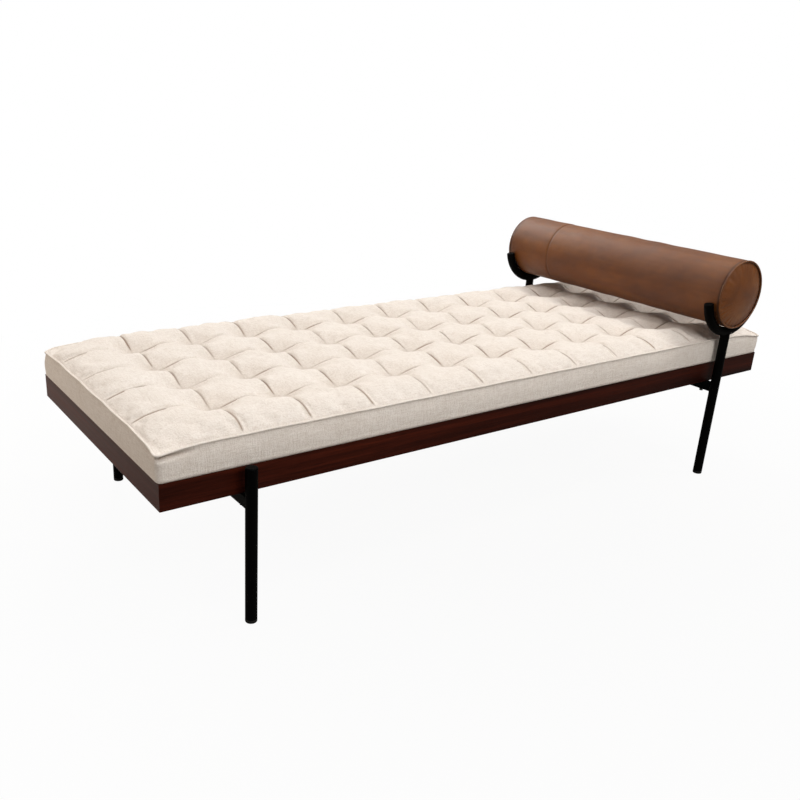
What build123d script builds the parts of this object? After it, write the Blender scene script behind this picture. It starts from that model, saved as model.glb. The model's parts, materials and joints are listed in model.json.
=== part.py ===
from build123d import *
import math
import os

# A daybed: a tufted mattress on a timber frame, with a tubular steel base whose head posts
# end in two open cradles that carry a round bolster.
# Millimetres. X runs along the daybed with the foot end at -X, Y runs across it with the
# front at -Y, and Z is up. The origin is on the floor under the middle of the frame.

# Timber frame
frame_length = 1900.0
frame_width = 714.0
rail_height = 58.0
rail_thickness = 25.0
rail_clear_height = 281.0
rail_edge_radius = 1.2
corner_block_size = 36.0
corner_block_height = 40.0

# Slatted deck
slat_count = 12
slat_width = 90.0
slat_thickness = 12.0
slat_end_gap = 1.0
ledger_width = 22.0
ledger_height = 20.0
ledger_end_gap = 2.0

# Steel base
tube_diameter = 25.4
tube_wall = 2.0
post_standoff = 15.0
foot_leg_inset = 177.0
head_post_inset = 223.0
leg_rise_above_rail = 8.0
beam_width = 20.0
beam_height = 24.0
beam_wall = 2.0
cap_thickness = 3.0
cap_edge_radius = 2.5
cap_spigot_length = 12.0

# Levelling glides
glide_base_height = 8.0
glide_edge_radius = 2.0
glide_groove = 1.0
glide_stem_diameter = 8.0
glide_stem_length = 24.0
glide_socket_length = 25.0

# Bolster and its cradles
bolster_diameter = 190.4
bolster_overhang = 6.6
bolster_axis_height = 546.5
bolster_leather = 2.0
bolster_cap_rise = 6.0
bolster_piping_diameter = 5.0
bolster_core_diameter = 76.0
bolster_core_wall = 3.0
bolster_disc_thickness = 9.0
cradle_tip_drop_angle = 12.0

# Mattress
mattress_overhang = 5.0
mattress_corner_radius = 18.0
mattress_edge_height = 67.0
mattress_core_height = 42.0
mattress_fabric = 3.0
mattress_bottom_fabric = 2.0
mattress_piping_diameter = 5.0
seam_height = 64.0
puff_height = 26.0
puff_crown_trim = 0.6
tuft_columns = 11
tuft_rows = 4
tuft_pitch_length = 155.0
tuft_pitch_width = 143.0
twine_diameter = 2.4
tuft_washer_diameter = 24.0

# Fasteners
bolt_diameter = 6.0
bolt_head_diameter = 10.0
bolt_head_height = 6.0
bolt_tip_gap = 2.0
washer_diameter = 13.0
washer_thickness = 1.6
insert_diameter = 9.0
insert_length = 18.0
screw_diameter = 4.0
screw_head_diameter = 8.0
screw_head_height = 2.5
screw_bite = 14.0
corner_screw_spacing = 16.0
ledger_screw_count = 5

# Clearances
fit_clearance = 0.1
moving_clearance = 0.3

# Places that follow from the sizes above
rail_top = rail_clear_height + rail_height
inner_length = frame_length - 2 * rail_thickness
inner_width = frame_width - 2 * rail_thickness
ledger_top = rail_top - slat_thickness
ledger_length = inner_length - 2 * (corner_block_size + screw_head_height + ledger_end_gap)
ledger_y = inner_width / 2 - ledger_width / 2
slat_pitch = inner_length / slat_count
slat_places = [(i + 0.5) * slat_pitch - inner_length / 2 for i in range(slat_count)]
slat_gaps = [(a + b) / 2 for a, b in zip(slat_places, slat_places[1:])]
gaps_per_screw = len(slat_gaps) / ledger_screw_count
ledger_screw_x = [slat_gaps[round((i + 0.5) * gaps_per_screw - 0.5)] for i in range(ledger_screw_count)]
tube_radius = tube_diameter / 2
tube_inner_radius = tube_radius - tube_wall
post_y = frame_width / 2 + post_standoff + tube_radius
foot_leg_x = -frame_length / 2 + foot_leg_inset
head_post_x = frame_length / 2 - head_post_inset
tube_bottom = glide_base_height + glide_groove
leg_top = rail_top + leg_rise_above_rail - cap_thickness
beam_z = rail_clear_height - beam_height / 2
bolt_y = frame_width / 2 - rail_thickness / 2
bolster_radius = bolster_diameter / 2
bolster_length = 2 * (post_y + tube_radius + bolster_overhang)
cradle_radius = bolster_radius + moving_clearance + tube_radius
cradle_bottom = bolster_axis_height - cradle_radius
mattress_bottom = rail_top + moving_clearance
mattress_length = frame_length + 2 * mattress_overhang
mattress_width = frame_width + 2 * mattress_overhang
tuft_x = [(i - (tuft_columns - 1) / 2) * tuft_pitch_length for i in range(tuft_columns)]
tuft_y = [(i - (tuft_rows - 1) / 2) * tuft_pitch_width for i in range(tuft_rows)]
tuft_places = [(x, y) for x in tuft_x for y in tuft_y]

SIDES = {"front": -1, "rear": 1}
ENDS = {"foot": -1, "head": 1}
LEG_X = {"foot": foot_leg_x, "head": head_post_x}
ON_BASE = (Align.CENTER, Align.CENTER, Align.MIN)

nodes = {}


def rod(radius, start, end):
    """A round bar from one point to another."""
    way = Vector(*end) - Vector(*start)
    return Plane(origin=start, z_dir=way) * Cylinder(radius, way.length, align=ON_BASE)


def pipe(radius, wall, start, end):
    """A round tube from one point to another."""
    return rod(radius, start, end) - rod(radius - wall, start, end)


def group(solids):
    """Separate solids that share one node."""
    return Compound(children=list(solids))


def screw(head_point, way, length):
    """A pan head screw: its head stands on head_point and its shank runs along way."""
    way = Vector(*way)
    place = Plane(origin=head_point, z_dir=way)
    shank = place * Cylinder(screw_diameter / 2, length, align=ON_BASE)
    head = place * Cylinder(screw_head_diameter / 2, screw_head_height,
                            align=(Align.CENTER, Align.CENTER, Align.MAX))
    return shank + head


def screw_hole(head_point, way, length):
    """The hole that a screw's shank leaves, a little deeper than the screw."""
    place = Plane(origin=head_point, z_dir=Vector(*way))
    return place * Cylinder(screw_diameter / 2 + fit_clearance, length + fit_clearance, align=ON_BASE)


def tube_cap(place, spigot_relief=0.0):
    """An end cap with a spigot inside the tube. place is the tube's end, with z_dir out of it.
    spigot_relief slims the straight spigot where the tube bends away from it."""
    head = Cylinder(tube_radius, cap_thickness, align=ON_BASE)
    head = fillet(head.edges().group_by(Axis.Z)[-1], min(cap_edge_radius, 0.9 * cap_thickness))
    spigot = Cylinder(tube_inner_radius - fit_clearance - spigot_relief, cap_spigot_length,
                      align=(Align.CENTER, Align.CENTER, Align.MAX))
    return place * (head + spigot)


# Screws first, because the timber pieces take their holes from the same places.
corner_screw_places = []
block_offset = rail_thickness + corner_block_size / 2
block_z = ledger_top - corner_block_height / 2
for end in ENDS.values():
    for side in SIDES.values():
        x = end * (frame_length / 2 - block_offset)
        y = side * (frame_width / 2 - block_offset)
        low = block_z - corner_screw_spacing / 2
        high = block_z + corner_screw_spacing / 2
        corner_screw_places.append(((x, y - side * corner_block_size / 2, low), (0, side, 0)))
        corner_screw_places.append(((x - end * corner_block_size / 2, y, high), (end, 0, 0)))
corner_screw_length = corner_block_size + screw_bite

ledger_screw_places = []
ledger_screw_z = ledger_top - ledger_height / 2
for side in SIDES.values():
    for x in ledger_screw_x:
        point = (x, side * (inner_width / 2 - ledger_width), ledger_screw_z)
        ledger_screw_places.append((point, (0, side, 0)))
ledger_screw_length = ledger_width + screw_bite

slat_screw_places = []
for side in SIDES.values():
    for x in slat_places:
        slat_screw_places.append(((x, side * ledger_y, rail_top - screw_head_height), (0, 0, -1)))
slat_screw_length = slat_thickness - screw_head_height + screw_bite

corner_holes = [screw_hole(*place, corner_screw_length) for place in corner_screw_places]
ledger_holes = [screw_hole(*place, ledger_screw_length) for place in ledger_screw_places]
slat_holes = [screw_hole(*place, slat_screw_length) for place in slat_screw_places]
nodes["corner_screws"] = group(screw(*place, corner_screw_length) for place in corner_screw_places)
nodes["ledger_screws"] = group(screw(*place, ledger_screw_length) for place in ledger_screw_places)
nodes["slat_screws"] = group(screw(*place, slat_screw_length) for place in slat_screw_places)

# Bolts that hold the crossbeams up against the side rails.
bolt_places = [(x, side * bolt_y) for x in LEG_X.values() for side in SIDES.values()]
bolts = []
washers = []
inserts = []
bolt_holes = []
insert_holes = []
for x, y in bolt_places:
    beam_under = rail_clear_height - beam_height
    head_top = beam_under - washer_thickness
    tip = rail_clear_height + insert_length - bolt_tip_gap
    hole_radius = bolt_diameter / 2 + fit_clearance
    shank = rod(bolt_diameter / 2, (x, y, head_top), (x, y, tip))
    head = Pos(x, y, head_top) * extrude(RegularPolygon(bolt_head_diameter / 2, 6), -bolt_head_height)
    bolts.append(shank + head)
    washer = rod(washer_diameter / 2, (x, y, head_top), (x, y, beam_under))
    bolt_hole = rod(hole_radius, (x, y, head_top), (x, y, tip + bolt_tip_gap))
    washers.append(washer - bolt_hole)
    insert = rod(insert_diameter / 2, (x, y, rail_clear_height), (x, y, tip + bolt_tip_gap))
    inserts.append(insert - bolt_hole)
    bolt_holes.append(bolt_hole)
    insert_holes.append(rod(insert_diameter / 2 + fit_clearance, (x, y, rail_clear_height),
                            (x, y, tip + bolt_tip_gap + fit_clearance)))
nodes["frame_bolts"] = group(bolts)
nodes["frame_washers"] = group(washers)
nodes["frame_inserts"] = group(inserts)


def mitred_rail(length):
    """A rail along X with its outer face on y = 0 and both ends cut at 45 degrees."""
    half = length / 2
    outline = Polyline(
        (-half, 0), (half, 0), (half - rail_thickness, rail_thickness),
        (rail_thickness - half, rail_thickness), close=True)
    rail = extrude(make_face(outline), rail_height)
    return fillet(rail.edges().filter_by(Axis.X).group_by(Axis.Y)[0], rail_edge_radius)


side_rail = Pos(0, -frame_width / 2, rail_clear_height) * mitred_rail(frame_length)
end_rail = Pos(0, -frame_length / 2, rail_clear_height) * mitred_rail(frame_width)
nodes["front_side_rail"] = side_rail - insert_holes - ledger_holes - corner_holes
nodes["rear_side_rail"] = Rot(0, 0, 180) * side_rail - insert_holes - ledger_holes - corner_holes
nodes["foot_end_rail"] = Rot(0, 0, -90) * end_rail - corner_holes
nodes["head_end_rail"] = Rot(0, 0, 90) * end_rail - corner_holes

for end_name, end in ENDS.items():
    for side_name, side in SIDES.items():
        place = Pos(end * (frame_length / 2 - block_offset), side * (frame_width / 2 - block_offset), block_z)
        block = place * Box(corner_block_size, corner_block_size, corner_block_height)
        nodes[f"corner_block_{end_name}_{side_name}"] = block - corner_holes

for side_name, side in SIDES.items():
    strip = Box(ledger_length, ledger_width, ledger_height, align=(Align.CENTER, Align.CENTER, Align.MAX))
    strip = Pos(0, side * ledger_y, ledger_top) * strip
    nodes[f"{side_name}_ledger"] = strip - ledger_holes - slat_holes

slat_length = inner_width - 2 * slat_end_gap
for number, x in enumerate(slat_places, 1):
    slat = Pos(x, 0, ledger_top) * Box(slat_width, slat_length, slat_thickness, align=ON_BASE)
    for side in SIDES.values():
        seat = (x, side * ledger_y, rail_top - screw_head_height)
        slat -= rod(screw_head_diameter / 2 + fit_clearance, seat, (x, side * ledger_y, rail_top))
    nodes[f"slat_{number:02d}"] = slat - slat_holes


def cradle_tip(y, end):
    """The plane on a cradle's open end, facing out of the tube."""
    angle = math.radians(cradle_tip_drop_angle)
    centre = (head_post_x + end * cradle_radius * math.cos(angle), y,
              bolster_axis_height - cradle_radius * math.sin(angle))
    return Plane(origin=centre, z_dir=(end * math.sin(angle), 0, math.cos(angle)))


def cradle_bend(y, radius):
    """A round bar bent along a cradle, from its foot side tip under the bolster to the other tip."""
    axis = Axis((head_post_x, y, bolster_axis_height), (0, -1, 0))
    disc = cradle_tip(y, -1) * Circle(radius)
    return revolve(disc, axis, revolution_arc=180 - 2 * cradle_tip_drop_angle)


leg_caps = []
tip_caps = []
sockets = []
for side_name, side in SIDES.items():
    y = side * post_y
    nodes[f"cradle_{side_name}"] = cradle_bend(y, tube_radius) - cradle_bend(y, tube_inner_radius)
    saddle = cradle_bend(y, tube_radius + fit_clearance)
    post = pipe(tube_radius, tube_wall, (head_post_x, y, tube_bottom), (head_post_x, y, cradle_bottom))
    nodes[f"head_post_{side_name}"] = post - saddle
    leg = pipe(tube_radius, tube_wall, (foot_leg_x, y, tube_bottom), (foot_leg_x, y, leg_top))
    nodes[f"foot_leg_{side_name}"] = leg
    leg_caps.append(tube_cap(Plane(origin=(foot_leg_x, y, leg_top))))
    for end in ENDS.values():
        tip_caps.append(tube_cap(cradle_tip(y, end), cap_spigot_length ** 2 / (2 * cradle_radius)))
nodes["leg_top_caps"] = group(leg_caps)
nodes["cradle_tip_caps"] = group(tip_caps)

for end_name, x in LEG_X.items():
    beam = Box(beam_width, 2 * post_y, beam_height)
    beam -= Box(beam_width - 2 * beam_wall, 2 * post_y, beam_height - 2 * beam_wall)
    beam = Pos(x, 0, beam_z) * beam
    for side in SIDES.values():
        foot = (x, side * post_y, 0)
        beam -= rod(tube_radius + fit_clearance, foot, (x, side * post_y, rail_top))
    nodes[f"{end_name}_crossbeam"] = beam - bolt_holes

for end_name, x in LEG_X.items():
    for side_name, side in SIDES.items():
        y = side * post_y
        base = Cylinder(tube_radius, glide_base_height, align=ON_BASE)
        base = fillet(base.edges().group_by(Axis.Z)[0], min(glide_edge_radius, 0.9 * glide_base_height))
        stem_top = tube_bottom + glide_stem_length
        stem = rod(glide_stem_diameter / 2, (x, y, 0), (x, y, stem_top))
        nodes[f"glide_{end_name}_{side_name}"] = Pos(x, y, 0) * base + stem
        socket_top = tube_bottom + glide_socket_length
        socket = rod(tube_inner_radius - fit_clearance, (x, y, tube_bottom), (x, y, socket_top))
        socket -= rod(glide_stem_diameter / 2 + fit_clearance, (x, y, tube_bottom), (x, y, socket_top))
        sockets.append(socket)
nodes["glide_sockets"] = group(sockets)


def padded_block(inset, low, high):
    """A block with the mattress's rounded plan, drawn in by inset."""
    radius = max(mattress_corner_radius - inset, fit_clearance)
    plan = RectangleRounded(mattress_length - 2 * inset, mattress_width - 2 * inset, radius)
    return Pos(0, 0, mattress_bottom + low) * extrude(plan, high - low)


piping_radius = mattress_piping_diameter / 2
piping_z = mattress_edge_height - piping_radius
core_low = mattress_bottom_fabric
core_high = core_low + mattress_core_height
core_inset = mattress_fabric + fit_clearance
panel_inset = mattress_piping_diameter + fit_clearance
twine_low = mattress_bottom + mattress_bottom_fabric
twine_high = mattress_bottom + seam_height
puff_top = mattress_bottom + seam_height + puff_height
twine_holes = [rod(twine_diameter / 2 + fit_clearance, (x, y, mattress_bottom), (x, y, puff_top))
               for x, y in tuft_places]
washer_holes = [rod(tuft_washer_diameter / 2 + fit_clearance, (x, y, mattress_bottom), (x, y, twine_low))
                for x, y in tuft_places]
nodes["tuft_twines"] = group(rod(twine_diameter / 2, (x, y, twine_low), (x, y, twine_high))
                             for x, y in tuft_places)
nodes["tuft_washers"] = group(rod(tuft_washer_diameter / 2, (x, y, mattress_bottom), (x, y, twine_low))
                              for x, y in tuft_places)

nodes["mattress_bottom_panel"] = padded_block(core_inset, 0, mattress_bottom_fabric) - washer_holes
nodes["mattress_core"] = padded_block(core_inset, core_low, core_high) - twine_holes
band_high = piping_z - piping_radius
nodes["mattress_side_band"] = padded_block(0, 0, band_high) - padded_block(mattress_fabric, 0, band_high)

welt_plan = RectangleRounded(
    mattress_length - 2 * piping_radius, mattress_width - 2 * piping_radius,
    mattress_corner_radius - piping_radius)
welt_path = Pos(0, 0, mattress_bottom + piping_z) * welt_plan.wire()
welt_section = Plane(origin=welt_path @ 0, z_dir=welt_path % 0) * Circle(piping_radius)
nodes["mattress_piping"] = sweep(welt_section, path=welt_path)


def scalloped_block(seams, width):
    """A block along X, centred on Y, whose top swells between the seams and dips at each one."""
    low = mattress_bottom + core_high
    dip = mattress_bottom + seam_height
    sides = [Line((seams[0], dip), (seams[0], low)), Line((seams[0], low), (seams[-1], low)),
             Line((seams[-1], low), (seams[-1], dip))]
    crown = dip + puff_height + puff_crown_trim
    swells = [ThreePointArc((a, dip), ((a + b) / 2, crown), (b, dip)) for a, b in zip(seams, seams[1:])]
    return extrude(Plane.XZ * make_face(sides + swells), width / 2, both=True)


# The tufted top: swells along the mattress and across it leave one puff between each four tufts,
# each pressed a little flat on its crown, and the outer puffs come down to the middle of the piping.
edge_x = mattress_length / 2 - piping_radius
edge_y = mattress_width / 2 - piping_radius
lengthwise = scalloped_block([-edge_x] + tuft_x + [edge_x], mattress_width)
crosswise = Rot(0, 0, 90) * scalloped_block([-edge_y] + tuft_y + [edge_y], mattress_length)
top_panel = lengthwise & crosswise
top_panel &= padded_block(panel_inset, core_high, seam_height + puff_height)
nodes["mattress_top_panel"] = top_panel - twine_holes

# The bolster is drawn about its own axis and then laid along Y.
laid = Plane(origin=(head_post_x, 0, bolster_axis_height), z_dir=(0, 1, 0))
half_length = bolster_length / 2
core_radius = bolster_core_diameter / 2
lining_radius = bolster_radius - bolster_leather - fit_clearance
disc_base = half_length - bolster_disc_thickness
ring_radius = bolster_piping_diameter / 2
cap_radius = bolster_radius - bolster_piping_diameter - fit_clearance


def drum(radius, bore, low, high):
    """A round piece about the bolster's axis."""
    piece = rod(radius, (0, 0, low), (0, 0, high))
    if bore > 0:
        piece -= rod(bore, (0, 0, low), (0, 0, high))
    return piece


nodes["bolster_sleeve"] = laid * drum(bolster_radius, bolster_radius - bolster_leather, -half_length, half_length)
nodes["bolster_foam"] = laid * drum(lining_radius, core_radius + fit_clearance, -disc_base, disc_base)
nodes["bolster_core_tube"] = laid * drum(core_radius, core_radius - bolster_core_wall, -disc_base, disc_base)
cap_outline = make_face([
    Line((0, 0, 0), (cap_radius, 0, 0)),
    TangentArc((0, 0, bolster_cap_rise), (cap_radius, 0, 0), tangent=(1, 0, 0)),
    Line((0, 0, bolster_cap_rise), (0, 0, 0))])
cap = revolve(cap_outline, Axis.Z)
for side_name, side in SIDES.items():
    turn = Rot(0, 0, 0) if side > 0 else Rot(180, 0, 0)
    nodes[f"bolster_disc_{side_name}"] = laid * turn * drum(lining_radius, 0, disc_base, half_length)
    nodes[f"bolster_cap_{side_name}"] = laid * turn * Pos(0, 0, half_length) * cap
    ring = Pos(0, 0, half_length + ring_radius) * Torus(bolster_radius - ring_radius, ring_radius)
    nodes[f"bolster_piping_{side_name}"] = laid * turn * ring

os.makedirs("parts", exist_ok=True)
for name, shape in nodes.items():
    shape.label = name
    export_step(shape, f"parts/{name}.step")
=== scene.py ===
import json
import math

import bpy
import numpy as np
from mathutils import Matrix, Vector


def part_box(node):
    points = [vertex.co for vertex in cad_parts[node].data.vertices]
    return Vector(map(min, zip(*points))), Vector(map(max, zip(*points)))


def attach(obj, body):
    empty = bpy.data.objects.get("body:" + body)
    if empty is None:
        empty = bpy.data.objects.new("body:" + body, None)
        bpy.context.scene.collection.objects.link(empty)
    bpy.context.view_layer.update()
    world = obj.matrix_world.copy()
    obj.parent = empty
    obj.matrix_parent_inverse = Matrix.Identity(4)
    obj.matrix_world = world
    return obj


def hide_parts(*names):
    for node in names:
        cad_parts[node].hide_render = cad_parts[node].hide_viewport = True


# The looks of a daybed: a tufted linen mattress on a dark timber frame, round black steel legs,
# and a leather bolster that lies in two open cradles. Metres, in the part's own frame.
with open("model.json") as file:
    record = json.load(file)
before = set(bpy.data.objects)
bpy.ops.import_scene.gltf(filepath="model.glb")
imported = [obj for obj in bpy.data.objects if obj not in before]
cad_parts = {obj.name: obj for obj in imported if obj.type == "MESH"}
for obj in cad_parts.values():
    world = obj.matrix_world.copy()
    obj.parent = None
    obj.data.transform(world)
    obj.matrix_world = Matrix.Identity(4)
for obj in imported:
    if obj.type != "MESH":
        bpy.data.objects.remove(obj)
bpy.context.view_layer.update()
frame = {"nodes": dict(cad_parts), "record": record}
nodes = frame["nodes"]

# Camera at the photograph's view. The image is 800 x 800.
IMAGE_SIZE = 800
CAMERA_PLACE = (-1.4855, -1.7270, 1.0443)
CAMERA_AZIMUTH = math.radians(35.515)
CAMERA_ELEVATION = math.radians(20.850)
CAMERA_ROLL = math.radians(2.865)
FOCAL_LENGTH_PIXELS = 865.15
VIEW_CENTRE_PIXELS = (358.91, 412.08)
SENSOR_WIDTH_MM = 36.0

# Colours in 0 to 255 display values, from dark to light
STAINED_TONES = ((34, 9, 5), (62, 20, 9), (92, 34, 18))
PALE_WOOD_TONES = ((172, 136, 92), (196, 162, 116), (214, 184, 140))
LEATHER_TONES = ((96, 48, 11), (125, 69, 17), (151, 91, 30))
LINEN_TONES = ((224, 212, 200), (245, 237, 228))
# the welt's own copy of the linen tones, set a little apart as painted light and shade on the piping
WELT_TONES = ((224, 213, 201), (242, 234, 225))
TWINE_TONES = ((196, 180, 152), (226, 214, 192))
FOAM_TONES = ((222, 212, 180), (238, 230, 204))
CARD_TONES = ((138, 108, 74), (160, 128, 90))

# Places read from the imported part
band_low, band_high = (np.array(corner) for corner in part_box("mattress_side_band"))
welt_low, welt_high = (np.array(corner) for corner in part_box("mattress_piping"))
twine_low, twine_high = (np.array(corner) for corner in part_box("tuft_twines"))
sleeve_low, sleeve_high = (np.array(corner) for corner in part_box("bolster_sleeve"))
cap_low, cap_high = (np.array(corner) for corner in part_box("bolster_cap_rear"))

# Mattress top: a grid of lines between the seams, closer together beside each seam
TUFT_COLUMNS = 11
TUFT_ROWS = 4
TWINE_RADIUS = 0.0012
STEPS_ALONG_CELL = 30
STEPS_ACROSS_CELL = 28
LINE_GRADING = 0.84

# Puffs
TUFT_COVER = 0.0008
SEAM_RISE = 0.0205
EDGE_SEAM_RISE = 0.0240
PUFF_ROUNDNESS = 4.5
PUFF_VARIATION = 0.10
SEAM_POWER = 1.35
EDGE_POWER = 0.8
EDGE_LIFT = 0.0014
EDGE_WAVE = 0.08
EDGE_FADE_SHARE = 0.75
EDGE_SCALLOP = {"x": 0.0040, "y": 0.0020}
RUMPLE = 0.0007
RUMPLE_COUNT = 14
RUMPLE_LENGTHS = (0.035, 0.10)

# Seams and tufts, which are sewn by hand and wander a little
SEAM_WANDER = 0.0020
WANDER_LENGTHS = (0.31, 0.17)
WANDER_POWER = 0.6
TUFT_WANDER = 0.0030
CREASE_DEPTH = 0.0044
CREASE_WIDTH = 0.0024
LEAST_CREASE = 0.35
PLEAT_DEPTH = 0.0011
PLEAT_REACH = 0.014
PLEAT_COUNTS = (5, 9)
UNEVENNESS = (0.3, 1.0)

# Painted shade in the folds, in the dimples round the tufts and beside the piping, from 0 to 1
FOLD_WIDTH = 0.0027
FOLD_SHADE_STRENGTHS = (0.45, 1.0)
FOLD_OPEN_SWELL = 0.5
FOLD_RISING_SIDE = 0.35
FOLD_TURN_START = 0.45
FOLD_TURN_LENGTH = 0.35
EDGE_FOLD_REACH = 0.014
# painted shade in the dimple round each tuft
DIMPLE_SHADE = 0.36
DIMPLE_REACH = 0.027
DIMPLE_POWER = 1.2
FOLD_IN_DIMPLE = 0.5
# painted shade along a line just inside the piping
STITCH_SHADE = 0.13
STITCH_PLACE = 0.0045
STITCH_WIDTH = 0.0022

# Corners, by their end and side: -1 is the foot end and the front
CORNER_RADII = {(-1, -1): 0.010, (-1, 1): 0.030, (1, -1): 0.022, (1, 1): 0.024}
CORNER_DROPS = {(-1, -1): 0.006, (-1, 1): 0.007, (1, -1): 0.015, (1, 1): 0.014}
CORNER_REACH = 0.085
CORNER_DROP_POWER = 1.6
CORNER_NOSES = {(-1, -1): 0.009, (1, -1): 0.005}
NOSE_REACH = 0.024
NOSE_POWER = 1.5

# A fold under the piping at one corner, with painted shade in it, at shares of the band's height
TUCKED_CORNER = (-1, -1)
TUCK_DEPTH = 0.011
TUCK_REACH = 0.055
TUCK_ROUND_CORNER = 0.25
TUCK_SHARE = 0.14
TUCK_HEIGHT = 0.07
TUCK_SHADE = 0.75
TUCK_SHADE_SHARE = 0.13
TUCK_SHADE_HEIGHT = 0.05

# Side band, as rings at these shares of its height below the piping
BAND_SHARES = (0.03, 0.055, 0.08, 0.11, 0.14, *np.linspace(0.18, 1.0, 14))
BAND_STRAIGHT_FROM = 0.55
BAND_BULGE = 0.0032
BAND_BULGE_END = 0.82
BAND_BULGE_POWER = 0.7
BAND_SEAM_PULL = 0.0006
BAND_SEAM_SHARE = 0.06
BAND_STITCH_SHADE = 0.3 * STITCH_SHADE
BAND_STITCH_HEIGHT = 0.03
BAND_EDGE_RADIUS = 0.006
BAND_EDGE_INWARD = 0.6
BAND_BASE_GAP = 0.0006
UNDERSIDE_INSET = 0.97
WELT_RADIUS = 0.0022
WELT_OUT = 0.0016
WELT_UP = 0.0004
WELT_SIDES = 12

# Cloth simulation of the mattress cover
SETTLE_EVERY = 2
SETTLE_FRAMES = 10
SETTLE_PRESSURE = 3.0
SETTLE_SLACK = 0.03
SETTLE_LIMIT = 0.0042
SEWN_REACH = 0.012
TUFT_HOLD_REACH = 0.065
TUFT_FREEDOM = 0.2

# Bolster
BOLSTER_TURNS = 160
BOLSTER_STEPS = 320
SLEEVE_INSET = 0.0009
SLEEVE_RUMPLE = 0.0002
SLEEVE_WAVES = ((0, 0.21, 0.1), (1, 0.13, 0.7), (2, 0.17, 0.3), (3, 0.09, 0.5), (5, 0.11, 0.9))
CROSS_SEAM_PLACE = 0.235
CROSS_SEAM_DEPTH = 0.0014
CROSS_SEAM_WIDTH = 0.0026
CROSS_SEAM_LAP = 0.0009
CROSS_SEAM_LAP_WIDTH = 0.0025
# painted shade along the cross seam
CROSS_SEAM_SHADE = 0.45
CROSS_SEAM_SHADE_WIDTH = 0.002
END_PULL = 0.0014
END_PULL_REACH = 0.005
END_GATHER = 0.0007
END_GATHER_REACH = 0.020
END_GATHER_START = 0.004
# painted shade in the groove beside the piping at each end of the sleeve
END_SHADE = 0.70
END_SHADE_INSET = 0.0025
END_SHADE_WIDTH = 0.0036
GATHER_COUNTS = (17, 23, 31, 41)
GATHER_PEAK = 2.5
RIM_SHARE = 0.4
# painted shade on the rim under the piping
RIM_SHADE = 0.8
CAP_STEPS = 34
CAP_MIDDLE = 0.03
CAP_FULLNESS = 0.009
CAP_ROUNDNESS = 2.4
CAP_PUCKER = 0.0030
CAP_PUCKER_POWER = 6
CAP_PUCKER_FADE = 0.08
# painted shade round the edge of each domed end, inside the piping
CAP_SHADE = 0.5
CAP_SHADE_START = 0.94
CAP_SHADE_WIDTH = 0.05
RANDOM_SEED = 7

# Studio. The surround is brightest from above and a little behind, and warm from the foot end.
# Its levels are a range of agreement with a way, and the range of values that goes with it.
BRIGHT_WAY = (0.0, 0.25, 0.97)
BRIGHT_LEVELS = (0.0, 1.0, 0.06, 0.60)
WARM_WAY = (-1.0, -0.1, -0.1)
WARM_LEVELS = (0.1, 0.9, 0.0, 1.0)
COOL_TINT = (0.97, 0.98, 1.0, 1)
WARM_TINT = (1.0, 0.82, 0.68, 1)
FLOOR_HALF = 14.0
LIGHTS = (
    ("key", (4.1, -2.1, 6.9), (0.2, 0, 0.4), 1.9, 205, (1.0, 0.99, 0.96)),
    ("rear_softbox", (0.9, 4.3, 4.0), (0.3, 0, 0.45), 1.35, 150, (1.0, 0.99, 0.97)),
    ("front_softbox", (-0.3, -3.6, 2.9), (0, -0.3, 0.35), 2.2, 90, (1.0, 0.99, 0.98)),
    ("foot_softbox", (-3.3, 1.5, 1.3), (-0.6, 0, 0.35), 1.6, 21, (1.0, 0.87, 0.74)),
)

WHITE = (1, 1, 1, 1)
BLACK = (0, 0, 0, 1)

rng = np.random.default_rng(RANDOM_SEED)


def linear(red, green, blue):
    """A colour given in 0 to 255 display values, as scene linear values."""
    channels = []
    for value in (red, green, blue):
        value /= 255
        channels.append(value / 12.92 if value <= 0.04045 else ((value + 0.055) / 1.055) ** 2.4)
    return (*channels, 1.0)


def add_camera():
    """The photograph's camera, as a place, three turns and a lens."""
    az, el, roll = CAMERA_AZIMUTH, CAMERA_ELEVATION, CAMERA_ROLL
    ahead = Vector((math.sin(az) * math.cos(el), math.cos(az) * math.cos(el), -math.sin(el)))
    right = ahead.cross(Vector((0, 0, 1))).normalized()
    up = right.cross(ahead)
    tilted_right = math.cos(roll) * right + math.sin(roll) * up
    tilted_up = math.cos(roll) * up - math.sin(roll) * right
    data = bpy.data.cameras.new("photo_camera")
    data.sensor_width = SENSOR_WIDTH_MM
    data.lens = FOCAL_LENGTH_PIXELS / IMAGE_SIZE * SENSOR_WIDTH_MM
    data.shift_x = 0.5 - VIEW_CENTRE_PIXELS[0] / IMAGE_SIZE
    data.shift_y = VIEW_CENTRE_PIXELS[1] / IMAGE_SIZE - 0.5
    data.clip_end = 50.0
    camera = bpy.data.objects.new("photo_camera", data)
    turn = Matrix((tilted_right, tilted_up, -ahead)).transposed()
    camera.matrix_world = Matrix.Translation(CAMERA_PLACE) @ turn.to_4x4()
    bpy.context.collection.objects.link(camera)
    bpy.context.scene.camera = camera


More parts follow.
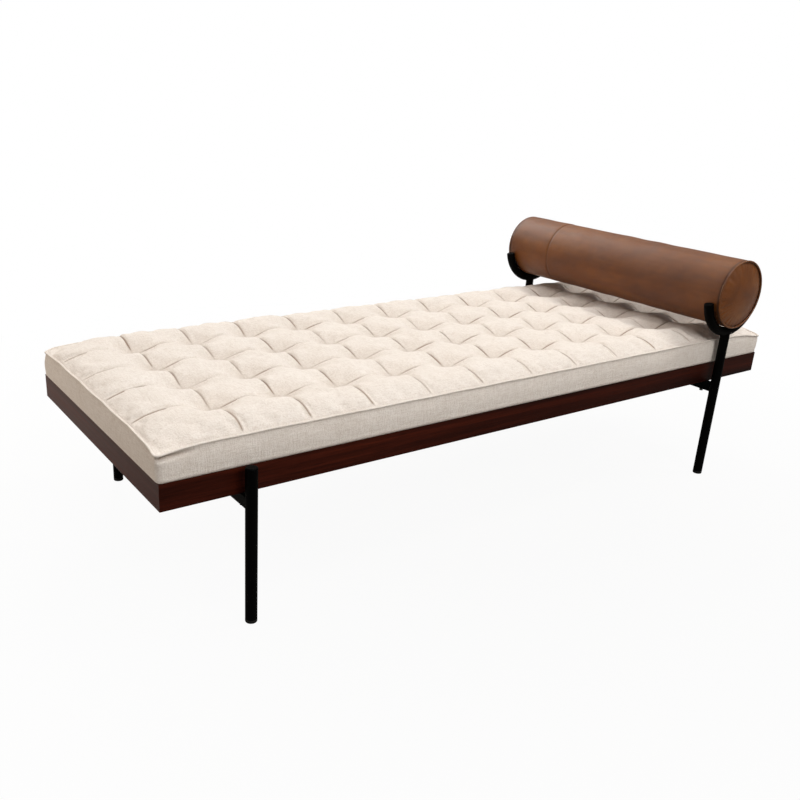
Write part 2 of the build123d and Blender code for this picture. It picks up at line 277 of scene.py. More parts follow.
class Shader:
    """A material's nodes, with short ways to add and join them."""

    def __init__(self, name):
        self.material = bpy.data.materials.new(name)
        self.material.use_nodes = True
        self.tree = self.material.node_tree
        self.surface = self.tree.nodes["Principled BSDF"]

    def add(self, kind, links=None, **settings):
        """A node of that kind. settings are its properties, or values of its sockets by name."""
        made = self.tree.nodes.new(kind)
        for key, value in settings.items():
            if hasattr(made, key):
                setattr(made, key, value)
            else:
                made.inputs[key.replace("_", " ")].default_value = value
        for key, source in (links or {}).items():
            self.tree.links.new(source, made.inputs[key])
        return made

    def set(self, **values):
        """Constant values on the surface's own sockets."""
        for key, value in values.items():
            self.surface.inputs[key.replace("_", " ")].default_value = value

    def join(self, source, socket):
        """Leads a value into one of the surface's sockets."""
        self.tree.links.new(source, self.surface.inputs[socket])

    def place(self, scale):
        """The object's own coordinates, stretched."""
        spot = self.add("ShaderNodeTexCoord").outputs["Object"]
        return self.add("ShaderNodeMapping", {"Vector": spot}, Scale=scale).outputs["Vector"]

    def noise(self, scale, detail=4.0, roughness=0.55, distortion=0.0):
        """Noise in the object's coordinates, stretched by scale."""
        made = self.add("ShaderNodeTexNoise", {"Vector": self.place(scale)}, Scale=1.0, Detail=detail,
                        Roughness=roughness, Distortion=distortion)
        return made.outputs["Fac"]

    def ramp(self, source, stops):
        """A colour ramp with the stops given as (place, colour)."""
        made = self.add("ShaderNodeValToRGB", {"Fac": source})
        band = made.color_ramp
        while len(band.elements) < len(stops):
            band.elements.new(0.5)
        for element, (spot, colour) in zip(band.elements, stops):
            element.position = spot
            element.color = colour
        return made.outputs["Color"]

    def spread(self, source, low, high, start=0.0, end=1.0):
        """A value from start..end stretched to low..high."""
        made = self.add("ShaderNodeMapRange", {"Value": source})
        for socket, value in zip(("From Min", "From Max", "To Min", "To Max"), (start, end, low, high)):
            made.inputs[socket].default_value = value
        return made.outputs["Result"]

    def darken(self, colour, tone, amount):
        """A colour multiplied by a tone, to a constant amount."""
        made = self.add("ShaderNodeMix", data_type="RGBA", blend_type="MULTIPLY")
        made.inputs[0].default_value = amount
        self.tree.links.new(colour, made.inputs[6])
        self.tree.links.new(tone, made.inputs[7])
        return made.outputs[2]

    def painted_shade_tone(self, deepest):
        """White, going to the deepest tone where the mesh gives a point painted shade."""
        depth = self.add("ShaderNodeVertexColor", layer_name="painted_shade").outputs["Color"]
        return self.ramp(depth, [(0.0, WHITE), (1.0, deepest)])

    def sum(self, first, second, share):
        """first plus share times second."""
        made = self.add("ShaderNodeMath", operation="MULTIPLY_ADD")
        self.tree.links.new(second, made.inputs[0])
        made.inputs[1].default_value = share
        self.tree.links.new(first, made.inputs[2])
        return made.outputs["Value"]

    def bump(self, height, distance, strength=1.0):
        """Relief on the surface, distance metres deep."""
        made = self.add("ShaderNodeBump", {"Height": height}, Strength=strength, Distance=distance)
        self.join(made.outputs["Normal"], "Normal")


def along(axis, length_scale, cross_scale):
    """Scales for a pattern drawn out along one axis."""
    return tuple(length_scale if i == axis else cross_scale for i in range(3))


def evenly(scale):
    """Scales for a pattern that is alike every way."""
    return (scale,) * 3


def wood(name, axis, tones, gloss, relief, figure_scale=26.0):
    """Straight grained wood with its grain along an axis: broad figure, fine streaks and pores."""
    s = Shader(name)
    figure = s.noise(along(axis, 0.9, figure_scale), detail=5.0, distortion=0.6)
    streaks = s.noise(along(axis, 3.0, 230.0), detail=6.0, roughness=0.65)
    pores = s.noise(along(axis, 22.0, 900.0), detail=2.0)
    colour = s.ramp(figure, list(zip((0.30, 0.52, 0.72), (linear(*tone) for tone in tones))))
    streak_tone = s.ramp(streaks, [(0.32, (0.45, 0.42, 0.40, 1)), (0.62, WHITE)])
    pore_tone = s.ramp(pores, [(0.36, (0.35, 0.32, 0.30, 1)), (0.46, WHITE)])
    colour = s.darken(colour, streak_tone, 0.75)
    s.join(s.darken(colour, pore_tone, 0.5), "Base Color")
    s.join(s.spread(streaks, gloss - 0.08, gloss + 0.12), "Roughness")
    s.bump(s.sum(streaks, pores, 0.6), relief)
    return s


def stained_wood(name, axis, painted_brightness, contrast, specular, gloss, figure_scale):
    """Dark stained wood, its tones scaled by a brightness that paints light and shade on it. contrast is
    the share of the figure's full difference in tone that shows.
    """
    tones = np.array(STAINED_TONES, dtype=float)
    middle = tones[1]
    s = wood(name, axis, painted_brightness * (middle + contrast * (tones - middle)), gloss, 0.0002, figure_scale)
    s.set(Specular_IOR_Level=specular)
    return s.material


def pale_wood(name, axis):
    """Unstained wood of the inner parts."""
    return wood(name, axis, PALE_WOOD_TONES, 0.62, 0.0003).material


def powder_coat():
    """Dull black coat of the steel base."""
    s = Shader("black_powder_coat")
    speckle = s.noise(evenly(900.0), detail=2.0)
    cloud = s.noise(evenly(7.0), detail=3.0)
    s.join(s.ramp(cloud, [(0.3, linear(1, 1, 1)), (0.7, linear(3, 3, 3))]), "Base Color")
    s.join(s.spread(speckle, 0.46, 0.62), "Roughness")
    s.set(Specular_IOR_Level=0.04)
    s.bump(speckle, 0.00006)
    return s.material


def moulded_plastic():
    """Black plastic of the glides and their sockets."""
    s = Shader("black_moulded_plastic")
    grain = s.noise(evenly(1400.0), detail=1.0)
    s.join(s.ramp(grain, [(0.3, linear(10, 10, 10)), (0.7, linear(20, 20, 20))]), "Base Color")
    s.join(s.spread(grain, 0.48, 0.66), "Roughness")
    s.set(Specular_IOR_Level=0.25)
    s.bump(grain, 0.00004)
    return s.material


def oxide_steel():
    """Dark steel of the fasteners."""
    s = Shader("black_oxide_steel")
    cloud = s.noise(evenly(60.0))
    s.join(s.ramp(cloud, [(0.3, linear(58, 58, 57)), (0.7, linear(84, 84, 82))]), "Base Color")
    s.join(s.spread(cloud, 0.28, 0.46), "Roughness")
    s.set(Metallic=1.0)
    return s.material


def linen(name, tones, paint_fold_shade=False):
    """Oatmeal linen: crossed threads with slubs, a little darker where a thread is thin.
    When asked, it also takes painted shade in its folds from the mesh."""
    shade, light = (linear(*tone) for tone in tones)
    s = Shader(name)
    slubs = [s.noise(along(axis, 42.0, 380.0), detail=3.0, roughness=0.6) for axis in range(3)]
    weave = s.spread(s.sum(s.sum(slubs[0], slubs[1], 1.0), slubs[2], 1.0), 0.0, 1.0, 1.1, 1.9)
    threads = [s.noise(along(axis, 120.0, 1300.0), detail=1.0) for axis in range(3)]
    fine = s.spread(s.sum(s.sum(threads[0], threads[1], 1.0), threads[2], 1.0), 0.0, 1.0, 1.0, 2.0)
    cloud = s.noise(evenly(9.0), detail=3.0)
    tone = s.ramp(weave, [(0.0, shade), (0.75, light)])
    flecks = s.ramp(fine, [(0.2, (0.90, 0.88, 0.87, 1)), (0.6, WHITE)])
    soft = s.ramp(cloud, [(0.25, (0.975, 0.965, 0.955, 1)), (0.7, WHITE)])
    colour = s.darken(s.darken(tone, flecks, 0.75), soft, 1.0)
    if paint_fold_shade:
        # painted shade in the folds, the dimples and beside the piping, from the mesh
        colour = s.darken(colour, s.painted_shade_tone((0.30, 0.20, 0.13, 1)), 1.0)
    s.join(colour, "Base Color")
    s.set(Roughness=0.92, Specular_IOR_Level=0.12, Sheen_Weight=0.12, Sheen_Roughness=0.5)
    s.bump(s.sum(weave, fine, 0.5), 0.0009, 0.8)
    return s.material


def leather(name, shade):
    """Smooth waxed leather: cloudy colour, faint streaks along Y, fine pebbled grain and a soft sheen.
    It takes painted shade at its seams from the mesh."""
    s = Shader(name)
    cloud = s.noise((5.0, 3.0, 5.0), detail=5.0, roughness=0.6, distortion=0.4)
    streaks = s.noise((34.0, 3.0, 34.0), roughness=0.6)
    mottle = s.noise(evenly(42.0))
    cells = s.add("ShaderNodeTexVoronoi", {"Vector": s.place(evenly(620.0))}, feature="DISTANCE_TO_EDGE")
    cells = cells.outputs["Distance"]
    tones = [linear(*(shade * value for value in tone)) for tone in LEATHER_TONES]
    colour = s.ramp(cloud, list(zip((0.28, 0.52, 0.76), tones)))
    dark = s.ramp(mottle, [(0.3, (0.82, 0.80, 0.78, 1)), (0.62, WHITE)])
    streaked = s.ramp(streaks, [(0.35, (0.72, 0.68, 0.65, 1)), (0.6, WHITE)])
    grain = s.ramp(cells, [(0.0, (0.70, 0.66, 0.62, 1)), (0.16, WHITE)])
    # painted shade at the seams, from the mesh
    folds = s.painted_shade_tone((0.10, 0.08, 0.07, 1))
    for tone, amount in ((dark, 0.8), (streaked, 0.8), (grain, 0.45), (folds, 1.0)):
        colour = s.darken(colour, tone, amount)
    s.join(colour, "Base Color")
    s.join(s.spread(mottle, 0.30, 0.44), "Roughness")
    s.set(Specular_IOR_Level=0.42, Sheen_Weight=0.08, Sheen_Roughness=0.45, Sheen_Tint=(1.0, 0.92, 0.86, 1))
    relief = s.sum(s.ramp(cells, [(0.0, BLACK), (0.3, WHITE)]), mottle, 0.5)
    s.bump(s.sum(relief, streaks, 1.2), 0.00018)
    return s.material


def plain_fibre(name, tones, scale):
    """Foam, twine or card: a cloudy fibrous surface."""
    shade, light = (linear(*tone) for tone in tones)
    s = Shader(name)
    fibre = s.noise(evenly(scale))
    s.join(s.ramp(fibre, [(0.3, shade), (0.65, light)]), "Base Color")
    s.set(Roughness=0.9, Specular_IOR_Level=0.15)
    s.bump(fibre, 0.0006)
    return s.material


def dress_nodes():
    """A material for every part that shows as it was built."""
    # One stain, painted darker on the side rails as shade and lighter and flatter on the end rails as sheen
    wood_along_x = stained_wood("stained_wood_lengthwise", 0, painted_brightness=0.9, contrast=1.0, specular=0.07,
                                gloss=0.42, figure_scale=26.0)
    wood_along_y = stained_wood("stained_wood_crosswise", 1, painted_brightness=1.14, contrast=0.35, specular=0.21,
                                gloss=0.50, figure_scale=90.0)
    pale_along_x = pale_wood("pale_wood_lengthwise", 0)
    pale_along_y = pale_wood("pale_wood_crosswise", 1)
    pale_upright = pale_wood("pale_wood_upright", 2)
    # The piping's copy of the leather is painted a little darker, as shade on the piping.
    piping_leather = leather("brown_waxed_leather_piping", 0.95)
    slots = {part["node"]: part["material_slot"] for part in frame["record"]["subparts"]}
    shared = {
        "plain_steel": oxide_steel(),
        "black_steel": powder_coat(),
        "black_plastic": moulded_plastic(),
        "linen": linen("oatmeal_linen", LINEN_TONES),
        "foam": plain_fibre("foam", FOAM_TONES, 320.0),
        "twine": plain_fibre("tufting_twine", TWINE_TONES, 900.0),
        "card_tube": plain_fibre("card", CARD_TONES, 240.0),
        "brown_leather": LEATHER,
    }
    for name, piece in nodes.items():
        kind = slots[name]
        if kind == "stained_wood":
            material = wood_along_x if "side" in name else wood_along_y
        elif kind == "pale_wood" and name.startswith("slat"):
            material = pale_along_y
        elif kind == "pale_wood" and name.endswith("ledger"):
            material = pale_along_x
        elif kind == "pale_wood":
            material = pale_upright
        elif name.startswith("bolster_piping"):
            material = piping_leather
        else:
            material = shared[kind]
        piece.data.materials.clear()
        piece.data.materials.append(material)


def new_piece(name, points, faces, material, smooth=True):
    """A mesh object made from points and faces."""
    mesh = bpy.data.meshes.new(name)
    mesh.from_pydata([tuple(point) for point in points], [], faces)
    mesh.update()
    piece = bpy.data.objects.new(name, mesh)
    bpy.context.collection.objects.link(piece)
    mesh.materials.append(material)
    mesh.polygons.foreach_set("use_smooth", [smooth] * len(mesh.polygons))
    return piece


def set_painted_shade(piece, depths):
    """Gives each point of a piece its painted shade, for the material to darken its colour by."""
    attribute = piece.data.color_attributes.new("painted_shade", "FLOAT_COLOR", "POINT")
    attribute.data.foreach_set("color", np.repeat(depths, 4))


def grid_faces(index):
    """Faces between the points of a grid, given by their numbers."""
    corners = [index[:-1, :-1], index[1:, :-1], index[1:, 1:], index[:-1, 1:]]
    return np.stack(corners, axis=-1).reshape(-1, 4).tolist()


def ring_faces(rings, closed=False):
    """Faces that join each ring of points to the next one, and when closed the last to the first.
    The rings are rows of point numbers."""
    faces = []
    for first, second in zip(rings, [*rings[1:], rings[0]] if closed else rings[1:]):
        faces.extend(np.stack([first, second, np.roll(second, -1), np.roll(first, -1)], axis=-1).tolist())
    return faces


def smooth_step(value):
    """Rises from 0 to 1 with the value, starting and ending gently."""
    value = np.clip(value, 0.0, 1.0)
    return value * value * (3 - 2 * value)


class Lines:
    """The mattress top's grid lines in one direction: each one's place, its share of the way across
    its cell, its cell's number, and what the cover does there."""

    def __init__(self, half, tufts, steps):
        seams = [-half, *tufts, half]
        even = np.arange(steps) / steps
        graded = LINE_GRADING * (1 - np.cos(np.pi * even)) / 2 + (1 - LINE_GRADING) * even
        starts, ends = np.array(seams[:-1]), np.array(seams[1:])
        self.last_cell = len(starts) - 1
        self.places = np.append((starts[:, None] + graded * (ends - starts)[:, None]).reshape(-1), half)
        self.shares = np.append(np.tile(graded, len(starts)), 1.0)
        self.cells = np.append(np.repeat(np.arange(len(starts)), steps), self.last_cell)
        self.in_edge_cell = (self.cells == 0) | (self.cells == self.last_cell)
        from_tufts = np.abs(self.places[:, None] - np.array(tufts)[None, :])
        self.from_tuft = from_tufts.min(axis=1)
        self.nearest_tuft = from_tufts.argmin(axis=1)
        self.to_edge = half - np.abs(self.places)
        outer_half = self.in_edge_cell & (self.shares_from_edge() < 0.5)
        # from 0 on a seam to 1 in the middle of the cell, rising more quickly from the piping
        power = np.where(outer_half, EDGE_POWER, SEAM_POWER)
        self.swell = np.clip(np.sin(np.pi * self.shares), 0, 1) ** power
        # 1 inside the mattress, falling to EDGE_WAVE at its edge, where the piping holds the cover straight
        inside = smooth_step(self.shares_from_edge() / EDGE_FADE_SHARE)
        self.fade = np.where(self.in_edge_cell, EDGE_WAVE + (1 - EDGE_WAVE) * inside, 1.0)
        # how open a fold may be: closed at the tufts, but open almost up to the piping
        self.fold_start = np.where(outer_half, smooth_step(self.to_edge / EDGE_FOLD_REACH),
                                   smooth_step(self.swell / FOLD_OPEN_SWELL))

    def shares_from_edge(self):
        """Each line's share of the way across its cell, counted from the edge in the last cell."""
        return np.where(self.cells == self.last_cell, 1 - self.shares, self.shares)

    def fold_shade_strength(self, seam_count):
        """How dark the painted shade in the folds of the seams that run this way is at each line: most on
        the half of a cell that falls towards -X or -Y, and not alike on all."""
        strength = rng.uniform(*FOLD_SHADE_STRENGTHS, (self.last_cell + 1, seam_count))[self.cells]
        falling = 1 - smooth_step((self.shares - FOLD_TURN_START) / FOLD_TURN_LENGTH)
        fall = FOLD_RISING_SIDE + (1 - FOLD_RISING_SIDE) * falling
        fall = np.where(self.cells == self.last_cell, 1.0, fall)
        return strength * fall[:, None]

    def seam_wander(self, across):
        """Sideways wander of these seams: none on the tufts, and blended between one seam and the next."""
        offsets = np.zeros((self.last_cell + 2, len(across.places)))
        for i in range(1, self.last_cell + 1):
            for length in WANDER_LENGTHS:
                size = rng.uniform(-1, 1)
                offsets[i] += size * np.sin(2 * np.pi * (across.places / length + rng.uniform()))
        offsets *= SEAM_WANDER * np.sin(np.pi * across.shares) ** WANDER_POWER
        share = self.shares[:, None]
        return offsets[self.cells] * (1 - share) + offsets[self.cells + 1] * share


def tuft_wander(lines_x, lines_y):
    """How far hand placed tufts lie from an even grid, blended across the cover."""
    offsets = np.zeros((TUFT_COLUMNS + 2, TUFT_ROWS + 2))
    offsets[1:-1, 1:-1] = rng.uniform(-TUFT_WANDER, TUFT_WANDER, (TUFT_COLUMNS, TUFT_ROWS))
    share_x, share_y = lines_x.shares[:, None], lines_y.shares[None, :]
    between = offsets[lines_x.cells] * (1 - share_x) + offsets[lines_x.cells + 1] * share_x
    return between[:, lines_y.cells] * (1 - share_y) + between[:, lines_y.cells + 1] * share_y


def puff_rise(lines_x, lines_y):
    """How far the cover stands above its tufts: a swell from each of the two sets of seams."""
    swell_x, fade_x, edge_x = (v[:, None] for v in (lines_x.swell, lines_x.fade, lines_x.in_edge_cell))
    swell_y, fade_y, edge_y = (v[None, :] for v in (lines_y.swell, lines_y.fade, lines_y.in_edge_cell))
    puff = 1 + PUFF_VARIATION * rng.uniform(-1, 1, (TUFT_COLUMNS + 1, TUFT_ROWS + 1))
    puff = 1 + (puff[lines_x.cells][:, lines_y.cells] - 1) * swell_x * swell_y
    from_x = np.where(edge_x, EDGE_SEAM_RISE, SEAM_RISE) * swell_x * fade_y
    from_y = np.where(edge_y, EDGE_SEAM_RISE, SEAM_RISE) * swell_y * fade_x
    rise = puff * (from_x ** PUFF_ROUNDNESS + from_y ** PUFF_ROUNDNESS) ** (1 / PUFF_ROUNDNESS)
    return rise + EDGE_LIFT * (1 - np.minimum(fade_x, fade_y))


def seam_creases(lines_x, lines_y):
    """How far the cover is drawn down along its seams, from 0 to 1."""
    reach_x, reach_y = (v.fold_start * np.maximum(v.swell * v.fade, LEAST_CREASE) for v in (lines_x, lines_y))
    near_x, near_y = (np.exp(-v.from_tuft / CREASE_WIDTH) for v in (lines_x, lines_y))
    return np.maximum(near_x[:, None] * reach_y[None, :], near_y[None, :] * reach_x[:, None])


def fold_shade(lines_x, lines_y):
    """How dark the painted shade is in the folds on the seams, in the dimples and along the stitch line
    beside the piping, from 0 to 1.
    """
    shade_y = lines_y.fold_shade_strength(TUFT_COLUMNS)[:, lines_x.nearest_tuft].T * lines_y.fold_start[None, :]
    shade_x = lines_x.fold_shade_strength(TUFT_ROWS)[:, lines_y.nearest_tuft] * lines_x.fold_start[:, None]
    near_x, near_y = lines_x.from_tuft[:, None], lines_y.from_tuft[None, :]
    painted_shade = np.maximum(np.exp(-(near_x / FOLD_WIDTH) ** 2) * shade_y,
                      np.exp(-(near_y / FOLD_WIDTH) ** 2) * shade_x)
    dimple = DIMPLE_SHADE * np.exp(-(np.hypot(near_x, near_y) / DIMPLE_REACH) ** DIMPLE_POWER)
    painted_shade = np.maximum(painted_shade, FOLD_IN_DIMPLE * painted_shade + dimple)
    to_edge = np.minimum(lines_x.to_edge[:, None], lines_y.to_edge[None, :])
    return np.maximum(painted_shade, STITCH_SHADE * np.exp(-((to_edge - STITCH_PLACE) / STITCH_WIDTH) ** 2))


def corner_drop(x, y, half_x, half_y):
    """How far the soft corners hang below the rest of the edge."""
    drop = np.zeros_like(x)
    for (end, side), depth in CORNER_DROPS.items():
        distance = np.hypot(x - end * half_x, y - side * half_y)
        drop += depth * np.exp(-(distance / CORNER_REACH) ** CORNER_DROP_POWER)
    return drop


def round_corners(x, y, half_x, half_y):
    """Draws the square corners of a plan in to quarter circles."""
    radius = np.empty_like(x)
    for (end, side), value in CORNER_RADII.items():
        radius[(np.where(x < 0, -1, 1) == end) & (np.where(y < 0, -1, 1) == side)] = value
    a = (np.abs(x) - (half_x - radius)) / radius
    b = (np.abs(y) - (half_y - radius)) / radius
    inside = (a > 0) & (b > 0)
    a, b = np.clip(a, 0, 1), np.clip(b, 0, 1)
    new_x = np.sign(x) * (half_x - radius + radius * a * np.sqrt(1 - b * b / 2))
    new_y = np.sign(y) * (half_y - radius + radius * b * np.sqrt(1 - a * a / 2))
    return np.where(inside, new_x, x), np.where(inside, new_y, y)


def corner_noses(x, y, half_x, half_y):
    """How far the piping's corners are drawn out, along X and along Y."""
    out_x, out_y = np.zeros_like(x), np.zeros_like(y)
    for (end, side), length in CORNER_NOSES.items():
        distance = np.hypot(x - end * half_x, y - side * half_y)
        near = np.exp(-(distance / NOSE_REACH) ** NOSE_POWER)
        out_x += end * length * near
        out_y += side * length * near
    return out_x, out_y


def tuft_pleats(x, y, tuft_x, tuft_y):
    """Short pleats that run out from the tufts, a few at each one."""
    relief = np.zeros_like(x)
    for place_x in tuft_x:
        for place_y in tuft_y:
            away = np.hypot(x - place_x, y - place_y) / PLEAT_REACH
            turn = np.arctan2(y - place_y, x - place_x)
            count = rng.integers(*PLEAT_COUNTS)
            depth = PLEAT_DEPTH * rng.uniform(*UNEVENNESS)
            wave = np.cos(count * turn + rng.uniform(0, 2 * np.pi))
            wave += 0.6 * np.cos(3 * turn + rng.uniform(0, 6))
            relief += depth * wave * away * np.exp(1 - away)
    return relief


def rumples(x, y):
    """Slight unevenness of filled cloth, as a sum of waves that run every way."""
    relief = np.zeros_like(x)
    for _ in range(RUMPLE_COUNT):
        turn = rng.uniform(0, 2 * np.pi)
        across = (x * np.cos(turn) + y * np.sin(turn)) / rng.uniform(*RUMPLE_LENGTHS)
        relief += RUMPLE * rng.uniform(*UNEVENNESS) * np.sin(2 * np.pi * (across + rng.uniform()))
    return relief


def settled_cloth(points, loose):
    """How far the padded cloth moves as it swells and creases between its seams. The cloth is simulated
    on a coarser net of the same points, given as rows, and its moves are spread over all of them."""
    rows = np.arange(0, points.shape[0], SETTLE_EVERY)
    columns = np.arange(0, points.shape[1], SETTLE_EVERY)
    net = points[np.ix_(rows, columns)]
    index = np.arange(net.shape[0] * net.shape[1]).reshape(net.shape[:2])
    sheet = new_piece("settling_cloth", net.reshape(-1, 3), grid_faces(index), COVER_LINEN)
    held = np.round((1 - loose[np.ix_(rows, columns)]).reshape(-1), 1)
    pins = sheet.vertex_groups.new(name="sewn")
    for weight in np.unique(held):
        pins.add(np.flatnonzero(held == weight).tolist(), float(weight), "REPLACE")
    cloth = sheet.modifiers.new("settle", "CLOTH")
    settings = cloth.settings
    settings.quality = 4
    settings.mass = 0.25
    settings.tension_stiffness = 12
    settings.compression_stiffness = 12
    settings.shear_stiffness = 6
    settings.bending_stiffness = 0.3
    settings.use_pressure = True
    settings.uniform_pressure_force = SETTLE_PRESSURE
    settings.shrink_min = -SETTLE_SLACK
    settings.vertex_group_mass = "sewn"
    settings.effector_weights.gravity = 0.0
    cloth.point_cache.frame_start = 1
    cloth.point_cache.frame_end = SETTLE_FRAMES
    scene = bpy.context.scene
    for number in range(1, SETTLE_FRAMES + 1):
        scene.frame_set(number)
    after = np.empty(net.size)
    sheet.evaluated_get(bpy.context.evaluated_depsgraph_get()).data.vertices.foreach_get("co", after)
    scene.frame_set(1)
    mesh = sheet.data
    bpy.data.objects.remove(sheet)
    bpy.data.meshes.remove(mesh)
    move = after.reshape(net.shape) - net
    length = np.linalg.norm(move, axis=-1, keepdims=True)
    move *= np.minimum(1.0, SETTLE_LIMIT / np.maximum(length, 1e-9))
    spread = np.empty(points.shape)
    all_rows, all_columns = (np.arange(count) for count in points.shape[:2])
    for axis in range(3):
        wide = np.array([np.interp(all_columns, columns, line) for line in move[:, :, axis]])
        spread[:, :, axis] = np.array([np.interp(all_rows, rows, line) for line in wide.T]).T
    return spread * loose[:, :, None]


def tufted_top(half_x, half_y):
    """The mattress top as rows of points, its plan before the edges are drawn in and the corners out,
    and the painted shade of its folds."""
    tuft_x = np.linspace(twine_low[0] + TWINE_RADIUS, twine_high[0] - TWINE_RADIUS, TUFT_COLUMNS)
    tuft_y = np.linspace(twine_low[1] + TWINE_RADIUS, twine_high[1] - TWINE_RADIUS, TUFT_ROWS)
    lines_x = Lines(half_x, tuft_x, STEPS_ALONG_CELL)
    lines_y = Lines(half_y, tuft_y, STEPS_ACROSS_CELL)
    x, y = np.meshgrid(lines_x.places, lines_y.places, indexing="ij")

    z = twine_high[2] + TUFT_COVER + puff_rise(lines_x, lines_y)
    z = z - CREASE_DEPTH * seam_creases(lines_x, lines_y) - corner_drop(x, y, half_x, half_y)
    shade = fold_shade(lines_x, lines_y)
    z = z + tuft_pleats(x, y, tuft_x, tuft_y)
    z = z + rumples(x, y) * lines_x.swell[:, None] * lines_y.swell[None, :]

    wander_x = lines_x.seam_wander(lines_y)
    wander_y = lines_y.seam_wander(lines_x).T
    wander_x = wander_x + tuft_wander(lines_x, lines_y)
    wander_y = wander_y + tuft_wander(lines_x, lines_y)
    pull_x = EDGE_SCALLOP["x"] * (1 - np.sin(np.pi * lines_y.shares))[None, :] * (1 - lines_x.fade)[:, None]
    pull_y = EDGE_SCALLOP["y"] * (1 - np.sin(np.pi * lines_x.shares))[:, None] * (1 - lines_y.fade)[None, :]
    plain_x, plain_y = round_corners(x + wander_x, y + wander_y, half_x, half_y)
    nose_x, nose_y = corner_noses(plain_x, plain_y, half_x, half_y)
    sewn_x = plain_x - pull_x * np.sign(x) + nose_x
    sewn_y = plain_y - pull_y * np.sign(y) + nose_y
    sewn = np.stack([sewn_x, sewn_y, z], axis=-1)
    near_x, near_y = lines_x.from_tuft[:, None], lines_y.from_tuft[None, :]
    to_edge = np.minimum(lines_x.to_edge[:, None], lines_y.to_edge[None, :])
    loose = smooth_step(np.minimum(near_x, near_y) / SEWN_REACH) * smooth_step(to_edge / SEWN_REACH)
    clear = smooth_step(np.hypot(near_x, near_y) / TUFT_HOLD_REACH)
    sewn = sewn + settled_cloth(sewn, loose * (TUFT_FREEDOM + (1 - TUFT_FREEDOM) * clear))
    return sewn, np.stack([plain_x, plain_y], axis=-1), shade


def band_ring(share, loop, plain_loop, outward, tucked):
    """One ring of the side band, at a share of the way down from the piping, and the painted shade
    of its points.
    """
    base_z = band_low[2] + BAND_BASE_GAP
    ring = loop.copy()
    ring[:, :2] += (plain_loop - loop[:, :2]) * smooth_step(share / BAND_STRAIGHT_FROM)
    ring[:, 2] = loop[:, 2] + (base_z - loop[:, 2]) * share
    low = BAND_EDGE_RADIUS - np.clip(ring[:, 2] - base_z, 0, BAND_EDGE_RADIUS)
    inward = BAND_EDGE_RADIUS - np.sqrt(np.maximum(BAND_EDGE_RADIUS ** 2 - low ** 2, 0))
    bulge = BAND_BULGE * np.sin(np.pi * min(share, BAND_BULGE_END)) ** BAND_BULGE_POWER
    bulge -= BAND_SEAM_PULL * np.exp(-(share / BAND_SEAM_SHARE) ** 2)
    tuck = TUCK_DEPTH * tucked * np.exp(-((share - TUCK_SHARE) / TUCK_HEIGHT) ** 2)
    ring[:, :2] += outward * (bulge - BAND_EDGE_INWARD * inward - tuck)[:, None]
    # painted shade just under the piping all round, and in the fold at the tucked corner
    piping_shade = BAND_STITCH_SHADE * np.exp(-((share - BAND_SEAM_SHARE) / BAND_STITCH_HEIGHT) ** 2)
    shaded = TUCK_SHADE * tucked * np.exp(-((share - TUCK_SHADE_SHARE) / TUCK_SHADE_HEIGHT) ** 2)
    return ring, np.maximum(piping_shade, shaded)


def mattress_form():
    """The mattress cover as one closed form: the tufted top, the side band and the underside.
    Returns its points, its faces, the loop of points along the top edge, the ways out from it,
    and the painted shade of each point."""
    welt_radius = (welt_high[2] - welt_low[2]) / 2
    half_x = band_high[0] - welt_radius
    half_y = band_high[1] - welt_radius
    top, plan, shade = tufted_top(half_x, half_y)
    index = np.arange(shade.size).reshape(shade.shape)
    rim = np.concatenate([index[:-1, 0], index[-1, :-1], index[:0:-1, -1], index[0, :0:-1]])
    loop = top.reshape(-1, 3)[rim]
    plain_loop = plan.reshape(-1, 2)[rim]
    ahead = np.roll(plain_loop, -1, axis=0) - np.roll(plain_loop, 1, axis=0)
    outward = np.stack([ahead[:, 1], -ahead[:, 0]], axis=-1)
    outward /= np.linalg.norm(outward, axis=1)[:, None]
    end, side = TUCKED_CORNER
    away = np.hypot(plain_loop[:, 0] - end * half_x, plain_loop[:, 1] - side * half_y)
    tucked = np.exp(-(away / TUCK_REACH) ** 2) * np.clip(side * outward[:, 1], TUCK_ROUND_CORNER, 1.0)

    points, folds, rings = [top.reshape(-1, 3)], [shade.reshape(-1)], [rim]
    for share in BAND_SHARES:
        ring, ring_shade = band_ring(share, loop, plain_loop, outward, tucked)
        points.append(ring)
        folds.append(ring_shade)
    points.append(points[-1] * (UNDERSIDE_INSET, UNDERSIDE_INSET, 1.0))
    folds.append(np.zeros(len(rim)))
    for number in range(len(BAND_SHARES) + 1):
        rings.append(shade.size + number * len(rim) + np.arange(len(rim)))
    faces = grid_faces(index) + ring_faces(rings)
    faces.append(rings[-1][::-1].tolist())
    return np.concatenate(points), faces, loop, outward, np.concatenate(folds)


def closed_tube(path, radius, sides):
    """Points and faces of a round cord along a closed path of points, which runs nowhere straight up."""
    ahead = np.roll(path, -1, axis=0) - np.roll(path, 1, axis=0)
    ahead /= np.linalg.norm(ahead, axis=1)[:, None]
    flat = np.cross(ahead, (0.0, 0.0, 1.0))
    flat /= np.linalg.norm(flat, axis=1)[:, None]
    rise = np.cross(flat, ahead)
    turns = 2 * np.pi * np.arange(sides) / sides
    ring = np.cos(turns)[None, :, None] * flat[:, None, :] + np.sin(turns)[None, :, None] * rise[:, None, :]
    points = (path[:, None, :] + radius * ring).reshape(-1, 3)
    return points, ring_faces(np.arange(len(points)).reshape(-1, sides), closed=True)


